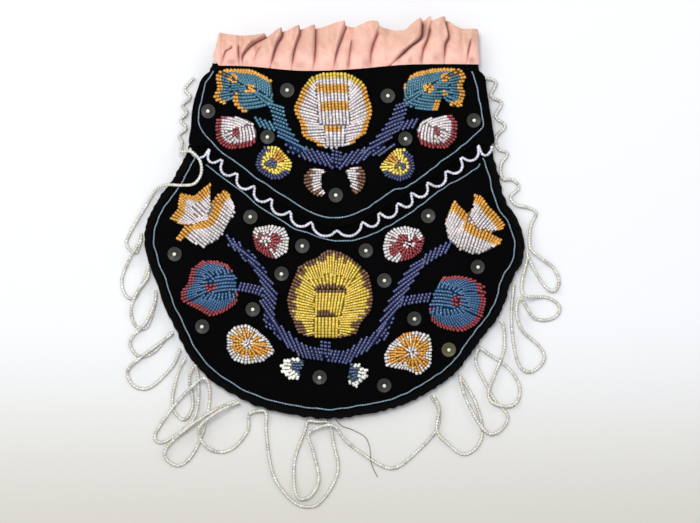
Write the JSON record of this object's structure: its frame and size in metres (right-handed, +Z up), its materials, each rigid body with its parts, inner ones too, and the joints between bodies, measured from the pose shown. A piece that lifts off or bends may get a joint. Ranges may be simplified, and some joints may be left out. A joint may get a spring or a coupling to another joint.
{
  "type": "beaded bag",
  "caption": "Flat velvet bag with a shaped flap, raised glass bead flowers, sequins, a gathered silk ribbon mouth and a looped bead fringe.",
  "frame": {"origin": "on the surface the bag lies on, under the middle of the bag without its fringe", "axes": "+Z up out of the beaded front, +Y towards the ribbon at the mouth, +X to the right of the beaded front"},
  "size_m": [0.1924, 0.2132, 0.0166],
  "materials": {
    "velvet": "black cotton velvet, matt, with a soft sheen at grazing angles",
    "lining": "plain light brown cotton, matt",
    "binding": "black tape, matt",
    "ribbon": "salmon pink silk, soft gloss, creased in its gathers",
    "line_beads": "tiny pale blue glass beads, gloss",
    "edging_beads": "white glass beads, gloss",
    "teal_beads": "teal blue glass beads, gloss",
    "lilac_beads": "pale lilac white glass beads, gloss",
    "yellow_beads": "yellow glass beads, gloss",
    "orange_beads": "amber orange glass beads, gloss",
    "white_beads": "opaque white glass beads, gloss",
    "stem_beads": "navy blue glass beads, gloss",
    "fringe_beads": "clear pearly glass beads, gloss",
    "sequin": "smoky translucent sequin with a pale bead, soft gloss",
    "brass_sequin": "worn brass coloured sequin with a pale bead"
  },
  "bodies": {
    "root": {"front_panel": "velvet", "back_panel": "velvet", "flap": "velvet", "back_lining": "lining", "front_lining": "lining", "edge_binding": "binding", "front_ribbon": "ribbon", "back_ribbon": "ribbon", "flap_border_line": "line_beads", "panel_border_line": "line_beads", "panel_inner_line": "line_beads", "flap_scallops": "edging_beads", "leaf_left": "teal_beads", "leaf_right": "teal_beads", "shell": "lilac_beads", "rosette_left": "lilac_beads", "rosette_right": "lilac_beads", "bud_left": "yellow_beads", "bud_right": "yellow_beads", "crescent_left": "lilac_beads", "crescent_right": "lilac_beads", "flap_stem": "stem_beads", "tulip_left": "lilac_beads", "tulip_right": "lilac_beads", "small_rosette_left": "lilac_beads", "small_rosette_right": "lilac_beads", "blue_flower_left": "teal_beads", "blue_flower_right": "teal_beads", "yellow_flower": "yellow_beads", "orange_bud_left": "orange_beads", "orange_bud_right": "orange_beads", "white_bud_left": "white_beads", "white_bud_right": "white_beads", "panel_stem": "stem_beads", "flap_sequin_1": "sequin", "flap_sequin_2": "sequin", "flap_sequin_3": "sequin", "flap_sequin_4": "sequin", "flap_sequin_5": "sequin", "flap_sequin_6": "sequin", "flap_sequin_7": "sequin", "panel_sequin_1": "sequin", "panel_sequin_2": "sequin", "panel_sequin_3": "sequin", "panel_sequin_4": "sequin", "panel_sequin_5": "sequin", "panel_sequin_6": "sequin", "panel_sequin_7": "sequin", "panel_sequin_8": "sequin", "panel_sequin_9": "sequin", "panel_sequin_10": "sequin", "panel_sequin_11": "sequin", "panel_sequin_12": "sequin", "panel_sequin_13": "brass_sequin", "panel_sequin_14": "sequin", "fringe_left": "fringe_beads", "fringe_lower_left": "fringe_beads", "fringe_bottom": "fringe_beads", "fringe_lower_right": "fringe_beads", "fringe_right": "fringe_beads"}
  },
  "joints": []
}
